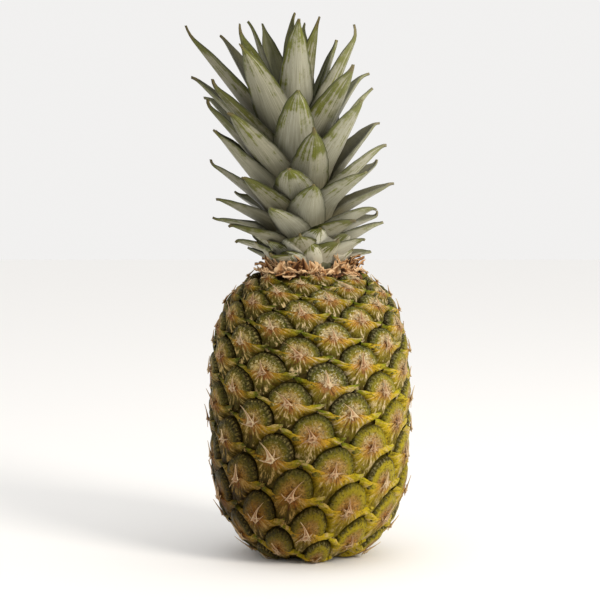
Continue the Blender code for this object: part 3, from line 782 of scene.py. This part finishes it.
crown = {
    "leaves": 62,
    "scales": 20,
    "firstTurn": math.radians(-90 + 240.9),
    "lean": math.radians(-7.38),
    "lowest": 0.0034,
    "rise": 0.001062,
    "stem": (
        (0.0, 0.0192), (0.016, 0.0197), (0.036, 0.0190), (0.050, 0.0150), (0.064, 0.0090), (0.076, 0.0040),
        (0.122, 0.0010),
    ),
    # share of the way up: slope at the base and tip in degrees, length and width in metres
    "forms": (
        (0.00, 49.0, 19.4, 0.0222, 0.0165), (0.15, 51.7, 19.1, 0.0350, 0.0205), (0.30, 58.1, 30.5, 0.0425, 0.0240),
        (0.45, 66.2, 42.7, 0.0536, 0.0262), (0.60, 71.8, 42.5, 0.0667, 0.0272), (0.75, 77.8, 55.6, 0.0836, 0.0272),
        (0.88, 81.0, 58.5, 0.0910, 0.0260), (1.00, 85.5, 80.8, 0.0844, 0.0200),
    ),
    "thickness": 0.0019,
    "channel": 0.50,  # depth of the leaf's channel for half its width
    "hook": 24,  # degrees that the upper part leans in or out
    "curl": 1.5,  # most that a dry point turns over, and where it begins
    "dryFrom": 0.87,
    "curlTurn": 7.3,
    "wave": 0.00022,
    "steps": 61,
    "kinds": 5,
    "columns": 13,
    "rows": 30,
    "around": 40,
    "seed": 5547,
}
leafMarks = ("leafNumber", "leafRandom")


def leafWidth(along):  # a broad leaf that draws out to a thin point
    return np.clip((1 - along ** 2.3) * (1 - 0.5 * smoothStep(0.80, 0.96, along)), 0, 1)


def leafTable():  # one row of values for each leaf, in the order the solid's leaves are drawn
    draw = random.Random(crown["seed"])
    forms = np.array(crown["forms"])
    stem = np.array(crown["stem"])
    rows = []
    for index in range(crown["leaves"]):
        share = index / (crown["leaves"] - 1)
        turn = crown["firstTurn"] - index * goldenTurn + math.radians(draw.uniform(-6, 6))
        base, tip, length, width = (float(np.interp(share, forms[:, 0], forms[:, k])) for k in (1, 2, 3, 4))
        base += draw.uniform(-4, 4)
        tip += draw.uniform(-9, 9)
        length *= draw.uniform(0.88, 1.12)
        width *= draw.uniform(0.94, 1.06)
        roll = math.radians(draw.uniform(-9, 9))
        bend = draw.uniform(-0.08, 0.08)
        height = crown["lowest"] + crown["rise"] * share * (crown["leaves"] - 1)
        out = float(np.interp(height, stem[:, 0], stem[:, 1])) - 0.0030
        curlWay = math.sin(index * crown["curlTurn"])
        rows.append((share, turn, base, tip, length, width, roll, bend, height, out, curlWay))
    for index in range(crown["scales"]):  # the smallest leaves, round the foot
        turn = crown["firstTurn"] + (index + 1) * goldenTurn + math.radians(draw.uniform(-8, 8))
        share = index / (crown["scales"] - 1)
        height = 0.0096 - 0.0084 * share
        length = 0.0250 - 0.0055 * share + draw.uniform(-0.001, 0.001)
        rows.append((
            0.0, turn, draw.uniform(62, 72), draw.uniform(36, 52), length, 0.0270 - 0.0050 * share,
            math.radians(draw.uniform(-9, 9)), draw.uniform(-0.1, 0.1), height, stem[0, 1] - 0.0026,
            math.sin((crown["leaves"] + index) * crown["curlTurn"]),
        ))
    return rows


def leafBlank(seed):  # a leaf in plain measures: x along 0 to 1, y across -1 to 1, z 0 outside and 1 inside
    draw = np.random.default_rng(seed)
    columns, rows = crown["columns"], crown["rows"]
    points, spots = [], []
    notch = draw.uniform(0, 6.28, 2)
    torn = draw.uniform(0.0, 0.05)  # how much of the point has dried and broken off
    for side in (0, 1):
        for row in range(rows):
            along = (row / (rows - 1)) ** 0.85 * (1 - torn)
            ragged = 1 + 0.012 * math.sin(31 * along + notch[0]) + 0.010 * math.sin(57 * along + notch[1])
            for column in range(columns):
                across = math.sin((column / (columns - 1) - 0.5) * math.pi)
                points.append((along, across * ragged, side))
                spots.append((across, along))
    return meshFrom("leaf", points, sheetFaces(rows, columns), {"leafMap": spots})


def leanCrown(places):
    places[:, 0] += math.tan(crown["lean"]) * places[:, 2]
    places[:, 2] += seatHeight
    return places


def leafForm(row, own, along, across, side):  # a blank's points as a channelled leaf on the leaning crown
    share, turn, base, tip, length, width, roll, bend, height, out, curlWay = row
    steps = np.linspace(0, 1, crown["steps"])
    hook = math.radians((own * 2 - 1.2) * crown["hook"] * (1 - 0.6 * share))
    slope = np.radians(base + (tip - base) * smoothStep(0, 0.4, steps)) + hook * smoothStep(0.80, 1.0, steps)
    curl = curlWay * (0.4 + own) * (1.7 - share)  # the dry point curls over, one way or the other
    slope += max(-crown["curl"], min(crown["curl"], curl)) * smoothStep(crown["dryFrom"], 1.0, steps)
    middle = (slope[1:] + slope[:-1]) / 2
    run = length * 1.012 / (len(steps) - 1)
    outs, ups = [
        first + np.concatenate([[0], np.cumsum(part(middle))]) * run
        for first, part in ((out, np.cos), (height, np.sin))
    ]
    lineOut, lineUp, lineSlope = (np.interp(along, steps, values) for values in (outs, ups, slope))
    half = width * leafWidth(along) / 2 + 0.00012
    channel = half * (crown["channel"] - 0.12 * along)
    thick = crown["thickness"] * (1 - 0.45 * along)
    over = np.minimum(np.abs(across), 1.0)
    inward = channel * over ** 1.7 - np.where(side < 0.5, thick * (1 - 0.82 * over ** 2), 0.0)
    inward += crown["wave"] * np.sin(across * 9 + own * 20) * np.sin(along * 5)
    twist = roll * along
    sideways = across * half * np.cos(twist) - inward * np.sin(twist)
    lifted = inward * np.cos(twist) + across * half * np.sin(twist)
    x = lineOut - lifted * np.sin(lineSlope)
    z = lineUp + lifted * np.cos(lineSlope)
    return leanCrown(turnedPoints(x, sideways + bend * length * along * along, z, turn))


def buildCrown():
    table = leafTable()
    leafFinish = leafMaterial()
    blanks = [leafBlank(71 + k) for k in range(crown["kinds"])]
    for blank in blanks:
        writeAttribute(blank, "leafSide", readPoints(blank)[:, 2])
    lengths = {"leafLength": [row[4] * 25 for row in table]}
    leaves = growFromTable("crownLeaves", table, blanks, leafFinish, leafMarks, 3, lengths)
    shapeBlanks(leaves, table, leafMarks, leafForm)
    print("crownLeaves", len(leaves.data.polygons))
    # the short stem that the leaves clasp, and the rolled young leaves in its middle
    around = crown["around"]
    stem = [(r, z) for z, r in crown["stem"]]
    points = ringPoints(stem, around) + [(0, 0, stem[-1][1] + 0.001), (0, 0, 0)]
    faces = gridFaces(len(stem), around, True)
    faces += capFaces((len(stem) - 1) * around, around, len(points) - 2)
    faces += [(b, a, tip) for a, b, tip in capFaces(0, around, len(points) - 1)]
    mesh = meshFrom("crownStem", leanCrown(np.array(points)), faces, {"leafMap": [(0.0, 0.3)] * len(points)})
    writeAttribute(mesh, "leafSide", np.ones(len(points)))
    core = addPiece("crownStem", mesh, leafFinish)
    for piece in (leaves, core):
        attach(piece, "root")
    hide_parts("crown")


collar = {
    "inner": 0.0203, "outer": 0.0268, "top": 0.0036, "edge": 0.0022, "foot": 0.0002, "around": 64,
    "strips": 44, "small": 190, "columns": 5, "rows": 9, "thickness": 0.0005, "wave": 0.0007, "seed": 23,
}
stripMarks = ("stripNumber", "eyeRandom")


def stripTable():  # the solid's strips, then smaller ones that fill in between
    draw = random.Random(collar["seed"])
    rows = []
    for index in range(collar["strips"]):
        turn = index * goldenTurn + draw.uniform(-0.05, 0.05)
        slope = math.radians(draw.uniform(-14, 14))
        length = draw.uniform(0.009, 0.014) * 0.62
        half = draw.uniform(0.0022, 0.0034)
        twist = draw.uniform(-0.5, 0.5)
        low = draw.uniform(0.0012, 0.0024)
        draw.uniform(-0.0015, 0.0015)  # the solid draws one value more for each strip
        rows.append((turn, 0.0, slope, length, half, twist, low, collar["outer"] - 0.0042))
    for index in range(collar["small"]):
        turn = draw.uniform(0, 2 * math.pi)
        share = draw.random()  # 0 against the crown, 1 at the ring's edge
        standing = draw.random() > 0.25 + 0.6 * share
        slope = draw.uniform(48, 86) if standing else draw.uniform(-38, 30)
        length = draw.uniform(0.0065, 0.0110) if standing else draw.uniform(0.0045, 0.0080)
        start = collar["inner"] + 0.0008 + (collar["outer"] - collar["inner"]) * share
        rows.append((
            turn, draw.uniform(-0.8, 0.8), math.radians(slope), length, draw.uniform(0.0018, 0.0040),
            draw.uniform(-0.8, 0.8), 0.0012 + 0.0026 * (1 - share) + draw.uniform(-0.0006, 0.001), start,
        ))
    return rows


def stripBlank():  # x along 0 to 1, y across -1 to 1, z 0 above and 1 below
    columns, rows = collar["columns"], collar["rows"]
    points = [
        (row / (rows - 1), column / (columns - 1) * 2 - 1, side)
        for side in (0, 1) for row in range(rows) for column in range(columns)
    ]
    spots = [(across, along) for along, across, _ in points]
    return meshFrom("strip", points, sheetFaces(rows, columns), {"eyeMap": spots})


def stripForm(row, own, along, across, side):  # a blank's points as a crumpled strip on the shoulder
    turn, aside, slope, length, half, twist, low, start = row
    wide = half * (1 - along ** 1.4) + 0.00012
    bendUp = slope + (own - 0.45) * 1.8 * along
    far = length * along * np.cos(bendUp)
    up = low + length * along * np.sin(bendUp) + 0.35 * wide * np.abs(across) + collar["thickness"] * (1 - side)
    up += collar["wave"] * np.sin(5 * across + own * 40) * np.sin(7 * along + own * 9)
    sideways = across * wide + twist * 0.5 * length * along * along
    out = start + far * math.cos(aside) - sideways * math.sin(aside)
    sideways = far * math.sin(aside) + sideways * math.cos(aside)
    up += across * wide * twist * 0.6 * along
    up = np.maximum(up, np.where(out < 0.0275, 0.0004, -0.0045)) + seatHeight  # above the shoulder, or hanging over it
    return turnedPoints(out, sideways, up, turn)


def buildCollar():
    table = stripTable()
    finish = dryMaterial("dryCollarBract", "#e4c093", "#a97848", "#4f3018", 0.75)
    strips = growFromTable("dryBracts", table, [stripBlank()], finish, stripMarks, 5)
    shapeBlanks(strips, table, stripMarks, stripForm)
    print("dryBracts", len(strips.data.polygons))
    inner, outer, around = collar["inner"], collar["outer"], collar["around"]
    section = [
        (inner, collar["top"]), (inner + 0.0022, collar["top"]), (outer, collar["edge"]), (outer, collar["foot"]),
        (inner, collar["foot"]),
    ]
    points = ringPoints([(r, z + seatHeight) for r, z in section], around)
    last = (len(section) - 1) * around
    faces = gridFaces(len(section), around, True)
    faces += [(last + k, last + (k + 1) % around, (k + 1) % around, k) for k in range(around)]
    faces = [tuple(reversed(face)) for face in faces]
    mesh = meshFrom("bractRing", points, faces, {"eyeMap": [(0.2, 0.3)] * len(points)}, smooth=False)
    ring = addPiece("bractRing", mesh, finish)
    for piece in (strips, ring):
        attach(piece, "root")
    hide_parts("dry_bracts")


studio = {
    "distance": 1.12, "elevation": 4.5, "target": (-0.0058, 0.0, 0.1492), "frameHeight": 0.3492,
    "floorReach": 3.0, "floorColor": "#fbfaf8", "skyColor": "#fdfcfb",
    "key": 15.0, "keyPlace": (0.92, -0.92, 0.80), "keyTarget": (0, 0, 0.15), "keySize": 0.50, "keyColor": "#fff8ee",
    "aside": 0.34, "sideways": 0.08, "overhead": 1.22, "backdrop": 0.90,  # the sky's brightness by its direction
}


def placeAimed(name, data, place, target):  # a camera or a light that looks at a target
    aimed = bpy.data.objects.new(name, data)
    aimed.location = place
    aimed.rotation_euler = (Vector(target) - Vector(place)).to_track_quat("-Z", "Y").to_euler()
    bpy.context.scene.collection.objects.link(aimed)
    return aimed


def buildStudio():
    lift = math.radians(studio["elevation"])
    camera = bpy.data.cameras.new("camera")
    camera.lens_unit = "FOV"
    camera.angle = 2 * math.atan(studio["frameHeight"] / 2 / studio["distance"])
    stand = Vector(studio["target"]) + Vector((0, -math.cos(lift), math.sin(lift))) * studio["distance"]
    bpy.context.scene.camera = placeAimed("camera", camera, stand, studio["target"])
    key = bpy.data.lights.new("keyLight", "AREA")
    key.shape = "DISK"
    key.size = studio["keySize"]
    key.energy = studio["key"]
    key.color = linear(studio["keyColor"])[:3]
    placeAimed("keyLight", key, studio["keyPlace"], studio["keyTarget"])
    size = studio["floorReach"]
    corners = [(-size, -size, 0), (size, -size, 0), (size, size, 0), (-size, size, 0)]
    finish, _, shader = newMaterial("paleFloor", 0.9)
    feed(shader, {"Base Color": studio["floorColor"]})
    floor = addPiece("floor", meshFrom("floor", corners, [(0, 1, 2, 3)]), finish)
    # a soft sky, brighter overhead and to one side; seen by the camera it is an even pale backdrop
    world = bpy.data.worlds.new("paleRoom")
    world.use_nodes = True
    add = partial(addNode, world.node_tree)
    seen = add("LightPath").outputs["Is Camera Ray"]
    ways = add("SeparateXYZ", add("TexCoord").outputs["Generated"]).outputs
    soft = add("MULTIPLY_ADD", ways[2], studio["overhead"] - studio["aside"], studio["aside"])
    soft = add("MULTIPLY", soft, add("MULTIPLY_ADD", ways[0], studio["sideways"], 1.0))
    gain = add("MULTIPLY", soft, add("SUBTRACT", 1.0, seen))
    gain = add("MULTIPLY_ADD", seen, studio["backdrop"], gain)
    feed(world.node_tree.nodes["Background"], {"Color": studio["skyColor"], "Strength": gain})
    bpy.context.scene.world = world
    bpy.context.scene.view_settings.view_transform = "Standard"


print("fruit")
buildFruit()
print("crown")
buildCrown()
print("collar")
buildCollar()
print("stalk")
frame["nodes"]["stalk_end"].data.materials.clear()
frame["nodes"]["stalk_end"].data.materials.append(stalkMaterial())
print("room")
buildStudio()
